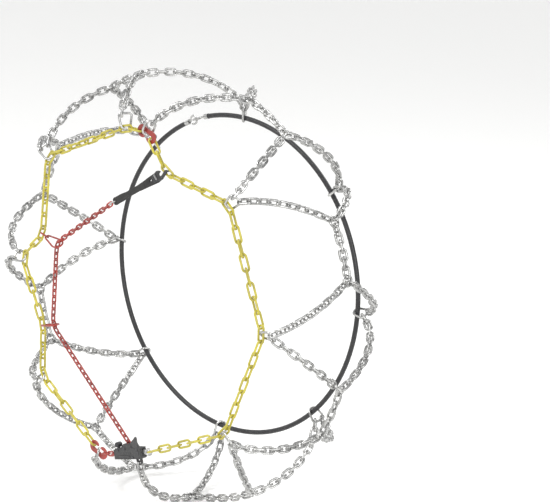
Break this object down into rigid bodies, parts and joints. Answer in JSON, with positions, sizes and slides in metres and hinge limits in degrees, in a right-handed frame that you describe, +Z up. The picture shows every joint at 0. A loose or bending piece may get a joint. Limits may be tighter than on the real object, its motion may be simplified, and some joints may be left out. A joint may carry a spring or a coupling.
{
  "type": "tire snow chain",
  "caption": "Net snow chain in its fitted shape: tread net on a closed inner hoop, coloured outer side chain with hook, self-tensioning chain with ratchet lock and rubber strap.",
  "frame": {"origin": "centre of the wheel that the chain is fitted to", "axes": "Y is the axle with -Y the outer face of the wheel, +Z is up"},
  "size_m": [0.7005, 0.2596, 0.7001],
  "materials": {
    "galvanised_steel": "bright galvanised, lightly worn",
    "plain_steel": "machined steel",
    "spring_steel": "dark drawn spring wire",
    "yellow_paint": "glossy yellow coating",
    "red_paint": "glossy red coating",
    "black_plastic": "matt moulded plastic",
    "black_rubber": "matt rubber"
  },
  "bodies": {
    "net": {"side_chain_lock_to_right_bottom": "yellow_paint", "side_chain_right_bottom_to_right": "yellow_paint", "side_chain_right_to_right_top": "yellow_paint", "side_chain_right_top_to_hook": "yellow_paint", "side_chain_hook_to_left_top": "yellow_paint", "side_chain_left_top_to_left": "yellow_paint", "side_chain_left_to_left_bottom": "yellow_paint", "side_chain_left_bottom_to_anchor": "yellow_paint", "tread_cell_top": "galvanised_steel", "tread_cell_right_top": "galvanised_steel", "tread_cell_right": "galvanised_steel", "tread_cell_right_bottom": "galvanised_steel", "tread_cell_bottom": "galvanised_steel", "tread_cell_left_bottom": "galvanised_steel", "tread_cell_left": "galvanised_steel", "tread_cell_left_top": "galvanised_steel", "outer_connector_links": "galvanised_steel", "inner_connector_links": "galvanised_steel", "tread_junction_rings": "galvanised_steel", "tread_bridge_right": "galvanised_steel", "tread_bridge_right_top": "galvanised_steel", "tread_bridge_top": "galvanised_steel", "tread_bridge_left_top": "galvanised_steel", "tread_bridge_left": "galvanised_steel", "tread_bridge_left_bottom": "galvanised_steel", "tread_bridge_bottom": "galvanised_steel", "tread_bridge_right_bottom": "galvanised_steel", "tension_chain_lock": "red_paint", "tension_chain_diagonal": "red_paint", "tension_chain_upright": "red_paint", "tension_chain_upper": "red_paint", "lock_housing": "black_plastic", "lock_cover": "black_plastic", "lock_pins": "plain_steel", "lock_rivets": "plain_steel", "lock_pawl_spring": "spring_steel", "guide_attach_link": "red_paint", "hoop_cable": "plain_steel", "hoop_sheath": "black_plastic", "hoop_ferrules": "galvanised_steel", "hoop_end_eye": "galvanised_steel", "hoop_end_hook": "galvanised_steel"},
    "closing_hook": {"closing_hook": "red_paint"},
    "closing_ring": {"closing_ring": "galvanised_steel"},
    "anchor_hook": {"anchor_hook": "red_paint"},
    "anchor_ring": {"anchor_ring": "galvanised_steel"},
    "guide_ring_upper": {"guide_ring_upper": "red_paint"},
    "guide_ring_lower": {"guide_ring_lower": "red_paint"},
    "strap": {"strap_end_ring": "galvanised_steel", "rubber_strap": "black_rubber", "strap_hook": "black_plastic", "strap_staple": "plain_steel"},
    "release": {"lock_pawl": "plain_steel", "lock_release_lever": "black_plastic", "lock_release_knob": "black_plastic"},
    "roller": {"lock_roller": "plain_steel"},
    "end_eye": {"lock_end_eye": "galvanised_steel"}
  },
  "joints": [
    {"name": "closing_hook_rock", "type": "hinge", "parent": "net", "child": "closing_hook", "pos_m": [0.0125, -0.117, 0.2692], "axis": [0.927, 0, -0.375], "range_deg": [-2, 4]},
    {"name": "closing_ring_swing", "type": "hinge", "parent": "net", "child": "closing_ring", "pos_m": [0.02194, -0.117, 0.29257], "axis": [0.6559, -0.7069, -0.2649], "range_deg": [-2, 2]},
    {"name": "anchor_hook_rock", "type": "hinge", "parent": "net", "child": "anchor_hook", "pos_m": [-0.0599, -0.117, -0.2713], "axis": [-0.9397, 0, 0.3419], "range_deg": [-3, 5]},
    {"name": "anchor_ring_swing", "type": "hinge", "parent": "net", "child": "anchor_ring", "pos_m": [-0.06852, -0.117, -0.29498], "axis": [-0.6642, -0.7072, 0.2421], "range_deg": [-2, 2]},
    {"name": "guide_ring_upper_roll", "type": "hinge", "parent": "net", "child": "guide_ring_upper", "pos_m": [-0.17043, -0.117, 0.04906], "axis": [0.9734, 0, -0.2291], "range_deg": [-4, 8]},
    {"name": "guide_ring_lower_roll", "type": "hinge", "parent": "net", "child": "guide_ring_lower", "pos_m": [-0.17199, -0.117, -0.08632], "axis": [0.9626, 0, 0.2709], "range_deg": [-8, 8]},
    {"name": "strap_unhook", "type": "hinge", "parent": "net", "child": "strap", "pos_m": [-0.05845, -0.117, 0.14344], "axis": [0.5373, 0, -0.8434], "range_deg": [0, 24]},
    {"name": "release_lever_tilt", "type": "hinge", "parent": "net", "child": "release", "pos_m": [-0.00948, -0.117, -0.25768], "axis": [0, -1, 0], "range_deg": [0, 20]},
    {"name": "roller_spin", "type": "hinge", "parent": "net", "child": "roller", "pos_m": [0.00466, -0.117, -0.2509], "axis": [0, -1, 0], "continuous": true},
    {"name": "end_eye_swing", "type": "hinge", "parent": "net", "child": "end_eye", "pos_m": [0.03577, -0.117, -0.2484], "axis": [0, -1, 0], "range_deg": [-3, 3]}
  ]
}
